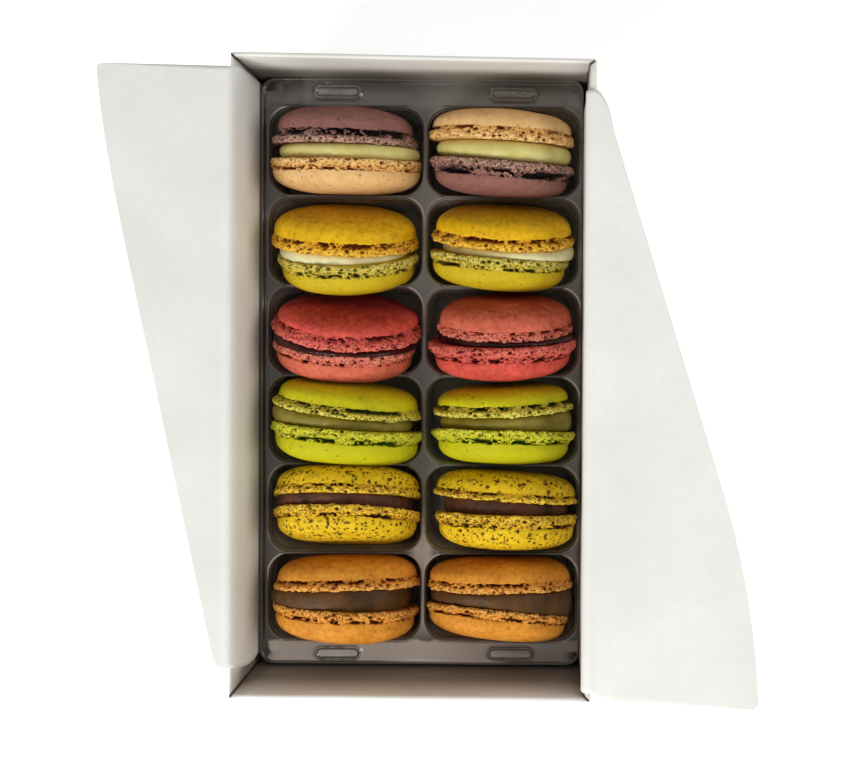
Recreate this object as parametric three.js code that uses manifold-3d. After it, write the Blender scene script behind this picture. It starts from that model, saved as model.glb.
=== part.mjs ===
// A box of macarons: twelve sandwiched almond shells stand on edge in the pockets of a clear insert tray, inside a
// folded card box. A sheet of paper lines each side wall, and its slanted wing is folded out over the rim.
// Millimetres. X runs across the box, Y along it and Z up, with the origin under the middle of the base.
import * as THREE from 'three';
import { mergeVertices } from 'three/addons/utils/BufferGeometryUtils.js';
import Module from 'manifold-3d';

const wasm = await Module();
wasm.setup();

// Card box. The side walls lean a little and the end walls close in towards the rim, as folded card does.
const boxHeight = 52;
const baseCard = 0.6;
const sideCard = 0.9;
const endCard = 1.4;
const innerLeft = { base: -53.3, rim: -54.6 };
const innerRight = { base: 53.2, rim: 51.2 };
const innerEnd = { base: 95.4, rim: 93.6 };

// Insert tray: two columns of six pockets with a stepped edge.
const rows = 6;
const rowPitch = 28.8;
const trayMiddleY = 0.1;
const columnX = { left: -24.9, right: 25.7 };
const pocketHalfX = 24.75;
const pocketHalfY = 14.15;
const pocketCorner = 6.8;
const pocketDraft = 0.02;
const pocketFillet = 3;
const pocketFloor = 1.3;
const deckTop = 28;
const sheet = 0.5;
const trayUnderside = 0.9;
const trayMiddleX = 0.4;
const trayEdge = { left: -52.6, right: 51, end: 94, corner: 3.5 };
const edgeStep = { height: 1, width: 1.4, slope: 0.6 };
const pill = { length: 16.4, width: 6.4, height: 0.9, slope: 0.5 };
const pillX = { left: -27.8, right: 28.7 };
const pillY = 91;

// Paper liner and its wings. A wing turns on the fold along the rim and rises a little towards its free edge.
const paper = 0.35;
const gap = 0.3;
const linerTop = 51.9;
const foldHeight = 52.5;
const foldLeft = -55.4;
const foldRight = 52;
const foldReach = 0.45;
const riseLeft = 7.8;
const riseRight = 9.5;

// Macarons. The profile of a shell's dome is a superellipse; its foot is a ragged band under the dome.
const segments = 24;
const domeSteps = [0.95, 0.8, 0.5];
const domeCrown = 2.6;
const domeShoulder = 1 / 1.7;
const footRagged = 0.75;
const fillingInset = 0.7;
const standHeight = 0.25;

const colours = {
  card: 0xf2f2ee, paper: 0xf0f0ea, tray: 0x6b6560,
  mauve: 0x8f6f6c, beige: 0xe0b684, cream: 0xd9d4a0,
  golden: 0xd9a91f, lime: 0xc0ac2d, white: 0xdcd8bd,
  coral: 0xcf5a4d, salmon: 0xc96f5e, jam: 0x43100f,
  olive: 0xb9a324, green: 0xc4bb24, pistachio: 0x8d8657,
  speckled: 0xd8b126, chocolate: 0x50332b,
  caramel: 0xc8842d, toffee: 0x5f4420,
};

// Each macaron: place of its middle, lean of its axis out of the level and turn about the vertical in degrees, then
// [foot height, foot radius, dome height, dome radius] of the shells and the thickness of the filling.
const macarons = [
  { row: 1, side: 'left', at: [-25.0, 72.1, 26.0], lean: 10.2, turn: -2.1,
    upper: [4.0, 23.7, 6.5, 21.4], filling: 4.4, lower: [3.3, 24.2, 7.8, 23.4], tints: ['mauve', 'cream', 'beige'] },
  { row: 1, side: 'right', at: [25.0, 72.0, 25.4], lean: 8.4, turn: -1.3,
    upper: [3.6, 23.2, 6.4, 22.4], filling: 5.8, lower: [4.5, 23.4, 6.1, 21.5], tints: ['beige', 'cream', 'mauve'] },
  { row: 2, side: 'left', at: [-25.1, 42.2, 24.7], lean: 19.1, turn: 0.5,
    upper: [3.9, 23.5, 6.4, 22.5], filling: 2.9, lower: [4.0, 23.2, 6.1, 21.5], tints: ['golden', 'white', 'lime'] },
  { row: 2, side: 'right', at: [25.1, 42.4, 24.3], lean: 13.9, turn: -3.1,
    upper: [3.6, 23.1, 8.2, 21.9], filling: 2.0, lower: [3.7, 22.8, 7.3, 21.6], tints: ['golden', 'white', 'lime'] },
  { row: 3, side: 'left', at: [-25.0, 12.1, 24.9], lean: 12.2, turn: -0.6,
    upper: [4.6, 24.3, 8.2, 22.2], filling: 1.5, lower: [3.1, 23.1, 6.9, 22.4], tints: ['coral', 'jam', 'salmon'] },
  { row: 3, side: 'right', at: [26.1, 12.4, 25.7], lean: 6.5, turn: -1.5,
    upper: [3.0, 21.7, 10.3, 21.5], filling: 1.5, lower: [4.5, 24.1, 6.5, 21.6], tints: ['salmon', 'jam', 'coral'] },
  { row: 4, side: 'left', at: [-24.5, -13.8, 25.7], lean: -0.4, turn: -3.9,
    upper: [3.0, 23.9, 7.4, 22.3], filling: 3.5, lower: [4.0, 24.4, 8.3, 23.1], tints: ['olive', 'pistachio', 'green'] },
  { row: 4, side: 'right', at: [26.2, -13.9, 24.5], lean: -0.7, turn: 0.6,
    upper: [3.3, 22.9, 6.2, 21.1], filling: 3.8, lower: [3.8, 23.2, 8.4, 21.2], tints: ['olive', 'pistachio', 'green'] },
  { row: 5, side: 'left', at: [-24.5, -42.2, 25.3], lean: -15.6, turn: -1.2,
    upper: [2.6, 23.9, 7.6, 23.0], filling: 3.4, lower: [3.5, 24.0, 7.3, 22.3], tints: ['speckled', 'chocolate', 'speckled'] },
  { row: 5, side: 'right', at: [27.0, -42.5, 24.6], lean: -8.7, turn: -0.5,
    upper: [2.4, 23.0, 7.6, 22.6], filling: 3.9, lower: [3.8, 22.9, 7.7, 21.8], tints: ['speckled', 'chocolate', 'speckled'] },
  { row: 6, side: 'left', at: [-24.6, -71.1, 25.6], lean: -9.4, turn: -0.6,
    upper: [3.0, 23.7, 6.3, 22.9], filling: 5.8, lower: [3.1, 24.2, 7.6, 22.5], tints: ['caramel', 'toffee', 'caramel'] },
  { row: 6, side: 'right', at: [25.1, -71.8, 25.6], lean: -11.3, turn: -2.9,
    upper: [2.9, 23.9, 7.6, 22.9], filling: 4.7, lower: [2.9, 23.1, 7.3, 22.0], tints: ['caramel', 'toffee', 'caramel'] },
];

const group = new THREE.Group();

function addMesh(parent, name, geometry, colour, roughness) {
  const material = new THREE.MeshStandardMaterial({ color: colours[colour], roughness, metalness: 0 });
  const mesh = new THREE.Mesh(geometry, material);
  mesh.name = name;
  parent.add(mesh);
  return mesh;
}

// Joins shared vertices and drops the faces that have no area, such as those at a lathe's axis.
function welded(source) {
  source.deleteAttribute('normal');
  source.deleteAttribute('uv');
  const geometry = mergeVertices(source, 1e-4);
  const index = geometry.getIndex().array;
  const kept = [];
  for (let i = 0; i < index.length; i += 3) {
    const [a, b, c] = [index[i], index[i + 1], index[i + 2]];
    if (a !== b && b !== c && c !== a) kept.push(a, b, c);
  }
  geometry.setIndex(kept);
  return geometry;
}

// Skins a stack of level convex rings with the same number of points each, and closes it at both ends.
function loft(rings) {
  const count = rings[0].length;
  const positions = rings.flat(2);
  const index = [];
  for (let ring = 0; ring + 1 < rings.length; ring++) {
    for (let i = 0; i < count; i++) {
      const a = ring * count + i;
      const b = ring * count + (i + 1) % count;
      index.push(a, b, b + count, a, b + count, a + count);
    }
  }
  const last = (rings.length - 1) * count;
  for (let i = 1; i + 1 < count; i++) {
    index.push(0, i + 1, i, last, last + i, last + i + 1);
  }
  const geometry = new THREE.BufferGeometry();
  geometry.setAttribute('position', new THREE.Float32BufferAttribute(positions, 3));
  geometry.setIndex(index);
  return geometry;
}

// A level rounded rectangle, counter-clockwise from above, with a few points on each corner.
function roundedRing(left, right, near, far, corner, z, cornerSteps = 3) {
  const ring = [];
  const centres = [[right, far, 0], [left, far, 1], [left, near, 2], [right, near, 3]];
  for (const [x, y, quarter] of centres) {
    const cx = x - Math.sign(x - (left + right) / 2) * corner;
    const cy = y - Math.sign(y - (near + far) / 2) * corner;
    for (let i = 0; i <= cornerSteps; i++) {
      const angle = (quarter + i / cornerSteps) * Math.PI / 2;
      ring.push([cx + corner * Math.cos(angle), cy + corner * Math.sin(angle), z]);
    }
  }
  return ring;
}

function toSolid(geometry) {
  const merged = welded(geometry);
  const vertProperties = new Float32Array(merged.getAttribute('position').array);
  const triVerts = new Uint32Array(merged.getIndex().array);
  return new wasm.Manifold(new wasm.Mesh({ numProp: 3, vertProperties, triVerts }));
}

function toGeometry(solid) {
  const mesh = solid.getMesh();
  const geometry = new THREE.BufferGeometry();
  geometry.setAttribute('position', new THREE.BufferAttribute(mesh.vertProperties, 3));
  geometry.setIndex(new THREE.BufferAttribute(mesh.triVerts, 1));
  return geometry;
}

// The wall's inner face at a height, between its fold at the base and the rim.
function wallAt(wall, z) {
  return THREE.MathUtils.lerp(wall.base, wall.rim, z / boxHeight);
}

// Card box: the leaning outer block less the inner one, which runs out past the rim.
function boxGeometry() {
  const block = (z0, z1, side, end) => loft([z0, z1].map((z) => {
    const left = wallAt(innerLeft, z) - side;
    const right = wallAt(innerRight, z) + side;
    const far = wallAt(innerEnd, z) + end;
    return [[right, far, z], [left, far, z], [left, -far, z], [right, -far, z]];
  }));
  const outer = toSolid(block(0, boxHeight, sideCard, endCard));
  const inner = toSolid(block(baseCard, boxHeight + 5, 0, 0));
  return toGeometry(outer.subtract(inner));
}

// Insert tray: a deck with a stepped edge and two blocks of pockets that stand on the base.
function traySolid() {
  const { left, right, end, corner } = trayEdge;
  const { height, width, slope } = edgeStep;
  const edgeRing = (inset, radius, z) => roundedRing(left + inset, right - inset, -end + inset, end - inset, radius, z);
  const deck = toSolid(loft([edgeRing(0, corner, deckTop - sheet), edgeRing(0, corner, deckTop + height)]));
  const recess = toSolid(loft([
    edgeRing(width + slope, corner, deckTop),
    edgeRing(width, corner + slope, deckTop + height),
    edgeRing(width, corner + slope, deckTop + height + 1),
  ]));
  let tray = deck.subtract(recess);

  const blockEnd = (rows - 1) / 2 * rowPitch + pocketHalfY + sheet;
  const drop = (deckTop - trayUnderside) * pocketDraft;
  for (const x of Object.values(columnX)) {
    const halfX = pocketHalfX + sheet;
    const blockRing = (inset, radius, z) => roundedRing(
      x - halfX + inset, x + halfX - inset,
      trayMiddleY - blockEnd + inset, trayMiddleY + blockEnd - inset, radius, z);
    tray = tray.add(toSolid(loft([
      blockRing(drop + pocketFillet, pocketCorner, trayUnderside),
      blockRing(drop, pocketCorner, trayUnderside + pocketFillet),
      blockRing(0, pocketCorner + sheet, deckTop - sheet / 2),
    ])));
  }
  for (const x of Object.values(columnX)) {
    for (let row = 0; row < rows; row++) {
      const y = trayMiddleY + ((rows - 1) / 2 - row) * rowPitch;
      const pocketRing = (z, inset = 0) => {
        const narrower = (deckTop - z) * pocketDraft + inset;
        return roundedRing(x - pocketHalfX + narrower, x + pocketHalfX - narrower,
          y - pocketHalfY + narrower, y + pocketHalfY - narrower, pocketCorner, z);
      };
      tray = tray.subtract(toSolid(loft([
        pocketRing(pocketFloor, pocketFillet),
        pocketRing(pocketFloor + pocketFillet),
        pocketRing(deckTop + 3),
      ])));
    }
  }
  for (const x of Object.values(pillX)) {
    for (const y of [pillY, -pillY]) {
      const pillRing = (inset, z) => roundedRing(
        x - pill.length / 2 + inset, x + pill.length / 2 - inset,
        y - pill.width / 2 + inset, y + pill.width / 2 - inset, pill.width / 2 - inset - 0.01, z);
      tray = tray.add(toSolid(loft([
        pillRing(0, deckTop - sheet / 2), pillRing(0, deckTop), pillRing(pill.slope, deckTop + pill.height)])));
    }
  }
  return tray;
}

// The tray's two halves, one for each column, which meet with a narrow gap along the middle ridge.
function trayHalves() {
  const tray = traySolid();
  const beyond = trayEdge.end + 5;
  const slab = (left, right) => toSolid(loft([-1, deckTop + 5].map((z) => (
    [[right, beyond, z], [left, beyond, z], [left, -beyond, z], [right, -beyond, z]]))));
  return {
    left: toGeometry(tray.subtract(slab(trayMiddleX - gap / 2, trayEdge.right + 5))),
    right: toGeometry(tray.subtract(slab(trayEdge.left - 5, trayMiddleX + gap / 2))),
  };
}

// A sheet of paper against the inside of a side wall, leaning with it, cut round at its corners. The outline is drawn
// along the wall and up it.
function linerGeometry(wall, inward, outline) {
  const geometry = new THREE.ExtrudeGeometry(outline, { depth: paper, bevelEnabled: false, curveSegments: 5 });
  const upright = new THREE.Matrix4().makeBasis(
    new THREE.Vector3(0, 1, 0), new THREE.Vector3(0, 0, 1), new THREE.Vector3(1, 0, 0));
  geometry.applyMatrix4(upright);
  const lean = (wall.rim - wall.base) / boxHeight;
  geometry.applyMatrix4(new THREE.Matrix4().set(1, 0, lean, 0, 0, 1, 0, 0, 0, 0, 1, 0, 0, 0, 0, 1));
  const back = inward > 0 ? gap : -gap - paper;
  geometry.translate(wall.base + back, 0, 0);
  return welded(geometry);
}

function linerOutlines() {
  const foot = baseCard + gap;
  const left = new THREE.Shape();
  left.moveTo(-91.5, foot);
  left.lineTo(92.6, foot);
  left.lineTo(92.4, 30);
  left.quadraticCurveTo(91.2, 44, 90.2, linerTop);
  left.lineTo(-87, linerTop);
  left.quadraticCurveTo(-90.6, 44, -91.5, 30);
  left.closePath();
  const right = new THREE.Shape();
  right.moveTo(-92.6, foot);
  right.lineTo(85.6, foot);
  right.lineTo(85.4, 30);
  right.quadraticCurveTo(85.2, 44, 84.8, linerTop);
  right.lineTo(-91.6, linerTop);
  right.quadraticCurveTo(-92.5, 44, -92.6, 30);
  right.closePath();
  return { left, right };
}

// A wing's outline: distance out from the fold against place along it.
function wingOutlines() {
  const left = new THREE.Shape();
  left.moveTo(-foldReach, -87);
  left.lineTo(-2.2, -87);
  left.quadraticCurveTo(-3.9, -86.4, -4.9, -80.3);
  left.lineTo(-27.3, 31.3);
  left.quadraticCurveTo(-35.4, 70, -36.8, 88.6);
  left.quadraticCurveTo(-36.8, 90, -35.6, 90.2);
  left.lineTo(-foldReach, 90.8);
  left.closePath();
  const right = new THREE.Shape();
  right.moveTo(foldReach, 85);
  right.quadraticCurveTo(3.6, 82.4, 4.9, 73.2);
  right.lineTo(38.2, -36.6);
  right.quadraticCurveTo(46.6, -66, 47.5, -91.8);
  right.quadraticCurveTo(47.3, -93.6, 45.4, -93.8);
  right.lineTo(foldReach, -94);
  right.closePath();
  return { left, right };
}

function wingGeometry(outline) {
  const geometry = new THREE.ExtrudeGeometry(outline, { depth: paper, bevelEnabled: false, curveSegments: 6 });
  geometry.translate(0, 0, -paper / 2);
  return welded(geometry);
}

// Mulberry32: a seeded stream of numbers from 0 to 1.
function randomStream(seed) {
  let state = seed;
  return () => {
    state = (state + 0x6d2b79f5) | 0;
    let mixed = Math.imul(state ^ (state >>> 15), 1 | state);
    mixed = (mixed + Math.imul(mixed ^ (mixed >>> 7), 61 | mixed)) ^ mixed;
    return ((mixed ^ (mixed >>> 14)) >>> 0) / 4294967296;
  };
}

// One almond shell, flat side on y = 0 and dome towards +Y: a ragged foot, a waist and a superelliptic dome.
function shellGeometry([footHeight, footRadius, domeHeight, domeRadius], seed) {
  const random = randomStream(seed);
  const dome = domeSteps.map((share) => new THREE.Vector2(
    share * domeRadius, footHeight + domeHeight * (1 - share ** domeCrown) ** domeShoulder));
  const profile = [
    new THREE.Vector2(0, 0),
    new THREE.Vector2(footRadius - 1.3, 0),
    new THREE.Vector2(footRadius - 0.15, 0.25 * footHeight),
    new THREE.Vector2(footRadius, 0.7 * footHeight),
    new THREE.Vector2(domeRadius - 0.2, footHeight),
    ...dome,
    new THREE.Vector2(0, footHeight + domeHeight),
  ];
  const geometry = new THREE.LatheGeometry(profile, segments);
  const position = geometry.getAttribute('position');
  const ragged = [1, 2, 3];
  for (const ring of ragged) {
    const drops = Array.from({ length: segments }, () => random() ** 2 * footRagged);
    const lifts = Array.from({ length: segments }, () => (random() - 0.5) * 0.5);
    for (let i = 0; i <= segments; i++) {
      const vertex = i * profile.length + ring;
      const drop = drops[i % segments];
      const shrink = 1 - drop / footRadius;
      position.setX(vertex, position.getX(vertex) * shrink);
      position.setZ(vertex, position.getZ(vertex) * shrink);
      if (ring !== 1) position.setY(vertex, position.getY(vertex) + lifts[i % segments]);
    }
  }
  return welded(geometry);
}

// The filling: a flat disc whose side swells out between the shells.
function fillingGeometry(thickness, radius) {
  const half = thickness / 2 - gap;
  const side = radius - fillingInset;
  const profile = [
    new THREE.Vector2(0, -half),
    new THREE.Vector2(side - 0.5, -half),
    new THREE.Vector2(side, 0),
    new THREE.Vector2(side - 0.5, half),
    new THREE.Vector2(0, half),
  ];
  return welded(new THREE.LatheGeometry(profile, segments));
}

function addMacaron({ row, side, at, lean, turn, upper, filling, lower, tints }, number) {
  const macaron = new THREE.Group();
  macaron.position.set(at[0], at[1], at[2] + standHeight);
  macaron.rotation.set(THREE.MathUtils.degToRad(lean), 0, THREE.MathUtils.degToRad(turn), 'ZYX');
  const name = `row${row}_${side}`;
  const top = addMesh(macaron, `${name}_upper`, shellGeometry(upper, 100 + number), tints[0], 0.8);
  top.position.y = filling / 2;
  const radius = Math.min(upper[1], lower[1]) - 0.4;
  addMesh(macaron, `${name}_filling`, fillingGeometry(filling, radius), tints[1], 0.5);
  const bottom = addMesh(macaron, `${name}_lower`, shellGeometry(lower, 200 + number), tints[2], 0.8);
  bottom.rotation.z = Math.PI;
  bottom.position.y = -filling / 2;
  group.add(macaron);
}

function addWing(name, outline, foldX, rise) {
  const mesh = addMesh(group, name, wingGeometry(outline), 'paper', 0.7);
  mesh.position.set(foldX, 0, foldHeight);
  mesh.rotation.y = THREE.MathUtils.degToRad(rise);
}

addMesh(group, 'box', boxGeometry(), 'card', 0.6);
const halves = trayHalves();
addMesh(group, 'tray_left', halves.left, 'tray', 0.2);
addMesh(group, 'tray_right', halves.right, 'tray', 0.2);
const liners = linerOutlines();
addMesh(group, 'liner_left', linerGeometry(innerLeft, 1, liners.left), 'paper', 0.7);
addMesh(group, 'liner_right', linerGeometry(innerRight, -1, liners.right), 'paper', 0.7);
const wings = wingOutlines();
addWing('flap_left', wings.left, foldLeft, riseLeft);
addWing('flap_right', wings.right, foldRight, -riseRight);
macarons.forEach(addMacaron);

export default group;
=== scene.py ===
# Looks for an open card box with twelve macarons in a clear insert tray, under paper wings folded out.
# Shapes are worked out in millimetres and put into the meshes in metres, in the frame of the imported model.
import itertools
import math
import bpy
import numpy as np
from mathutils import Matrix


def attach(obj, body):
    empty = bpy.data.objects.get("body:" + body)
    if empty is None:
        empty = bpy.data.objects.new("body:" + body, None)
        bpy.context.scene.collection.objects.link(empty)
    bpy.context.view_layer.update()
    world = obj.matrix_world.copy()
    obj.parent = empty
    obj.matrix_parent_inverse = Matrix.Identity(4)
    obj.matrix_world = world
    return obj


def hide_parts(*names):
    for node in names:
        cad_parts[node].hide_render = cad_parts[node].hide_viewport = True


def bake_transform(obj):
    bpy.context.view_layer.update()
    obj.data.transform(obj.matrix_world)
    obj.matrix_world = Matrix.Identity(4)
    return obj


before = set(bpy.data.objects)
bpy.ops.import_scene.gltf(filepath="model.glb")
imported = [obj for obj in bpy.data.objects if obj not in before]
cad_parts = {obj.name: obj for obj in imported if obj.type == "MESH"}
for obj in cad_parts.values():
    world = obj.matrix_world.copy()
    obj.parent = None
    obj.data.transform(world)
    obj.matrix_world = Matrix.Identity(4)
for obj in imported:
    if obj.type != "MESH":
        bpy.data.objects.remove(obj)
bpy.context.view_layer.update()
mm = 0.001


# ---- numbers and noise

# A colour as it is seen, 0 to 255, turned into the linear values that a shader works in.
def seen(tone):
    share = np.array(tone) / 255
    linear = np.where(share <= 0.04045, share / 12.92, ((share + 0.055) / 1.055) ** 2.4)
    return (*linear.tolist(), 1.0)


# 0 below the first edge, 1 above the second, and a smooth ramp between: 3t^2 - 2t^3.
def ramp(low, high, value):
    t = np.clip((value - low) / (high - low), 0, 1)
    return t * t * (3 - 2 * t)


# A repeatable number from 0 to 1 for each lattice point, mixed out of its coordinates by large odd numbers.
def lattice(cell, seed):
    whole = cell.astype(np.int64).astype(np.uint32)
    mixed = whole[..., 0] * np.uint32(374761393) + whole[..., 1] * np.uint32(668265263)
    mixed = mixed + whole[..., 2] * np.uint32(1274126177) + np.uint32(seed * 40503 + 9176)
    mixed = (mixed ^ (mixed >> np.uint32(13))) * np.uint32(1103515245)
    mixed = (mixed ^ (mixed >> np.uint32(16))) * np.uint32(2246822519)
    return (mixed ^ (mixed >> np.uint32(15))) / 4294967296


# Value noise from -1 to 1: numbers at the lattice points, blended by the smooth ramp along each axis.
def softNoise(points, size, seed):
    scaled = points / size
    cell = np.floor(scaled)
    t = scaled - cell
    t = t * t * (3 - 2 * t)
    total = np.zeros(points.shape[:-1])
    for corner in itertools.product((0, 1), repeat=3):
        weight = np.prod(np.where(np.array(corner) == 1, t, 1 - t), axis=-1)
        total += weight * lattice(cell + corner, seed)
    return total * 2 - 1


# Foam: for each point, the distance to the nearest of the jittered lattice points in cell sizes, and that
# lattice point's own random number from 0 to 1.
def foam(points, size, seed):
    scaled = points / size
    cell = np.floor(scaled)
    best = np.full(points.shape[:-1], 9.0)
    share = np.zeros(points.shape[:-1])
    for offset in itertools.product((-1, 0, 1), repeat=3):
        near = cell + offset
        middle = near + np.stack([lattice(near, seed + k) for k in range(3)], -1)
        distance = np.linalg.norm(scaled - middle, axis=-1)
        closer = distance < best
        best = np.where(closer, distance, best)
        share = np.where(closer, lattice(near, seed + 4), share)
    return best, share


# A Bezier curve over its control points at `count` even steps of its parameter.
def bezier(controls, count):
    t = np.linspace(0, 1, count)[:, None]
    degree = len(controls) - 1
    return sum(math.comb(degree, k) * (1 - t) ** (degree - k) * t ** k * np.array(p, float)
               for k, p in enumerate(controls))


# ---- meshes

# Points from their three coordinates, which may be arrays that repeat along each other.
def pointsOf(x, y, z):
    return np.stack(np.broadcast_arrays(x, y, z), -1)


# Quads between neighbouring rows of a grid; wrap joins the last column to the first.
def gridFaces(rows, columns, wrap=False):
    i = np.arange(rows - 1)[:, None]
    j = np.arange(columns if wrap else columns - 1)[None, :]
    k = (j + 1) % columns
    corners = [i * columns + j, i * columns + k, (i + 1) * columns + k, (i + 1) * columns + j]
    return np.stack(np.broadcast_arrays(*corners), -1).reshape(-1, 4)


# Writes points in millimetres, and faces of four or three corners, into a new object at the origin.
def putMesh(name, points, quads, triangles=None, values=None):
    triangles = np.zeros((0, 3), int) if triangles is None else triangles
    corners = np.concatenate([quads.ravel(), triangles.ravel()]).astype(np.int32)
    starts = np.concatenate([np.arange(len(quads)) * 4, len(quads) * 4 + np.arange(len(triangles)) * 3])
    mesh = bpy.data.meshes.new(name)
    mesh.vertices.add(len(points))
    mesh.vertices.foreach_set("co", (points * mm).astype(np.float32).ravel())
    mesh.loops.add(len(corners))
    mesh.loops.foreach_set("vertex_index", corners)
    mesh.polygons.add(len(starts))
    mesh.polygons.foreach_set("loop_start", starts.astype(np.int32))
    mesh.update(calc_edges=True)
    mesh.polygons.foreach_set("use_smooth", np.ones(len(starts), bool))
    for key, value in (values or {}).items():
        mesh.attributes.new(key, "FLOAT", "POINT").data.foreach_set("value", value.astype(np.float32).ravel())
    obj = bpy.data.objects.new(name, mesh)
    bpy.context.collection.objects.link(obj)
    return obj


# Skins a stack of rings of equal length, and closes it to a pole at both ends.
def ringSurface(rings, firstPole, lastPole):
    count, width = rings.shape[:2]
    points = np.concatenate([rings.reshape(-1, 3), [firstPole], [lastPole]])
    j = np.arange(width)
    k = (j + 1) % width
    top = (count - 1) * width
    first = np.stack([k, j, np.full(width, count * width)], -1)
    last = np.stack([top + j, top + k, np.full(width, count * width + 1)], -1)
    return points, gridFaces(count, width, wrap=True), np.concatenate([first, last])


# Rounded rectangles, one for each value of the arrays, counter-clockwise from above: four quarter arcs joined
# by straight sides. Where square is 1 the arc is pushed out to the rectangle's corner.
def roundedRings(left, right, near, far, radius, height, square, sideSteps, cornerSteps):
    given = [np.atleast_1d(np.asarray(v, float)) for v in (left, right, near, far, radius, height, square)]
    left, right, near, far, radius, height, square = [v[:, None] for v in np.broadcast_arrays(*given)]
    arcs = []
    for quarter, (x, y, sx, sy) in enumerate([(right, far, -1, -1), (left, far, 1, -1),
                                              (left, near, 1, 1), (right, near, -1, 1)]):
        angle = (quarter + np.linspace(0, 1, cornerSteps + 1)[None, :]) * math.pi / 2
        cosine, sine = np.cos(angle), np.sin(angle)
        reach = radius / np.maximum(abs(cosine), abs(sine)) ** square
        arcs.append(np.stack([x + sx * radius + reach * cosine, y + sy * radius + reach * sine], -1))
    runs = []
    for index, arc in enumerate(arcs):
        start, end = arc[:, -1:], arcs[(index + 1) % 4][:, :1]
        share = np.linspace(0, 1, sideSteps[index % 2] + 1)[None, 1:-1, None]
        runs += [arc, start + (end - start) * share]
    flat = np.concatenate(runs, 1)
    return np.concatenate([flat, np.broadcast_to(height[:, :, None], (*flat.shape[:2], 1))], -1)


# A sheet with thickness: the grid moved half the thickness along the normals to either side, and its edges
# closed by strips.
def thickSheet(name, grid, normals, thickness):
    rows, columns = grid.shape[:2]
    front = (grid + normals * thickness / 2).reshape(-1, 3)
    back = (grid - normals * thickness / 2).reshape(-1, 3)
    faces = gridFaces(rows, columns)
    index = np.arange(rows * columns).reshape(rows, columns)
    border = np.concatenate([index[0], index[1:, -1], index[-1, -2::-1], index[-2:0:-1, 0]])
    after = np.roll(border, -1)
    offset = rows * columns
    strip = np.stack([after, border, border + offset, after + offset], -1)
    faces = np.concatenate([faces, faces[:, ::-1] + offset, strip])
    return putMesh(name, np.concatenate([front, back]), faces)


def finishPiece(obj, body, slot, material, *nodes):
    obj.data.materials.append(material)
    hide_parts(*nodes)
    if body:
        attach(obj, body)


# ---- shader helpers; each works in the tree of its first socket or shader

def newMaterial(name, **sockets):
    material = bpy.data.materials.new(name)
    material.use_nodes = True
    shader = material.node_tree.nodes["Principled BSDF"]
    for socket, value in sockets.items():
        feed(shader.inputs[socket.replace("_", " ")], value)
    return material, shader


# Puts a value into a socket, or links another socket to it.
def feed(socket, value):
    if isinstance(value, bpy.types.NodeSocket):
        socket.id_data.links.new(value, socket)
    else:
        socket.default_value = value


def addNode(near, kind, inputs=None, **settings):
    made = near.id_data.nodes.new(kind)
    for key, value in settings.items():
        setattr(made, key, value)
    for socket, value in (inputs or {}).items():
        feed(made.inputs[socket], value)
    return made


def objectPlace(shader):
    return addNode(shader, "ShaderNodeTexCoord").outputs["Object"]


def valueOf(shader, name):
    return addNode(shader, "ShaderNodeAttribute", attribute_name=name).outputs["Fac"]


def noiseOf(place, scale, detail=2.0, roughness=0.5, output="Fac"):
    return addNode(place, "ShaderNodeTexNoise", {"Vector": place, "Scale": scale, "Detail": detail,
                                                 "Roughness": roughness}).outputs[output]


# A value turned from one range into another, held at the ends.
def rangeOf(value, low, high, newLow=0.0, newHigh=1.0):
    return addNode(value, "ShaderNodeMapRange", {"Value": value, "From Min": low, "From Max": high,
                                                 "To Min": newLow, "To Max": newHigh}).outputs["Result"]


# The same for a coordinate, between two marks in millimetres.
def fadeOf(value, marks, newLow=0.0, newHigh=1.0):
    return rangeOf(value, marks[0] * mm, marks[1] * mm, newLow, newHigh)


def mixTones(share, first, second):
    return addNode(share, "ShaderNodeMix", {0: share, 6: first, 7: second}, data_type="RGBA").outputs[2]


# Values combined from left to right by one operation of the Math node.
def mathOf(operation, result, *others):
    for other in others:
        result = addNode(result, "ShaderNodeMath", {0: result, 1: other}, operation=operation).outputs[0]
    return result


def productOf(*values):
    return mathOf("MULTIPLY", *values)


def sumOf(*values):
    return mathOf("ADD", *values)


# Spots in the Voronoi cells whose random number is below the chance. The radius is in cells, and a spot fades
# out between it and `soft` times it.
def spotsOf(place, scale, radius, soft, chance, channel="Red"):
    cells = addNode(place, "ShaderNodeTexVoronoi", {"Vector": place, "Scale": scale}).outputs
    spot = rangeOf(cells["Distance"], radius, radius * soft, 1, 0)
    pick = addNode(place, "ShaderNodeSeparateColor", {"Color": cells["Color"]}).outputs[channel]
    return productOf(spot, mathOf("LESS_THAN", pick, chance))


# Sets a shader's tone and relief, with the relief's depth in millimetres.
def dress(shader, tone, relief, depth):
    feed(shader.inputs["Base Color"], tone)
    bump = addNode(shader, "ShaderNodeBump", {"Height": relief, "Distance": depth * mm})
    feed(shader.inputs["Normal"], bump.outputs["Normal"])


# ---- card box

card = {
    "height": 52, "base": 0.6, "side": 0.9, "rightRim": 1.8, "end": 1.4,
    # the inner faces' places at the base and at the rim
    "inner": {"left": (-53.3, -54.6), "right": (54.4, 50.3), "near": (-95.2, -94.1), "far": (95.2, 93.6)},
    "bow": 0.7, "farSkew": -0.0132, "nearSkew": -0.004,
    "rimRadius": 0.6, "foldRadius": 0.8, "outerCorner": 1.1, "innerCorner": 0.8,
    # the slit and wall shade strengths are painted shade, beside the corner slits and low on the end walls
    "slitDepth": 1.0, "rimNotch": 1.0, "slitShade": 0.6,
    "nearShade": 0.95, "nearFade": (53, 36), "farShade": 1.0, "farFade": (44, 34),     # fades in height
    "unevenX": 0.2, "unevenY": 0.14, "unevenRim": 0.22,
    # the corner tone is the tone of that painted shade
    "tone": (246, 244, 240), "shade": (232, 228, 221), "corner": (132, 124, 114), "roughness": 0.5,
    "relief": 0.04,
}


def wallAt(wall, z):
    return wall[0] + (wall[1] - wall[0]) * z / card["height"]


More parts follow.
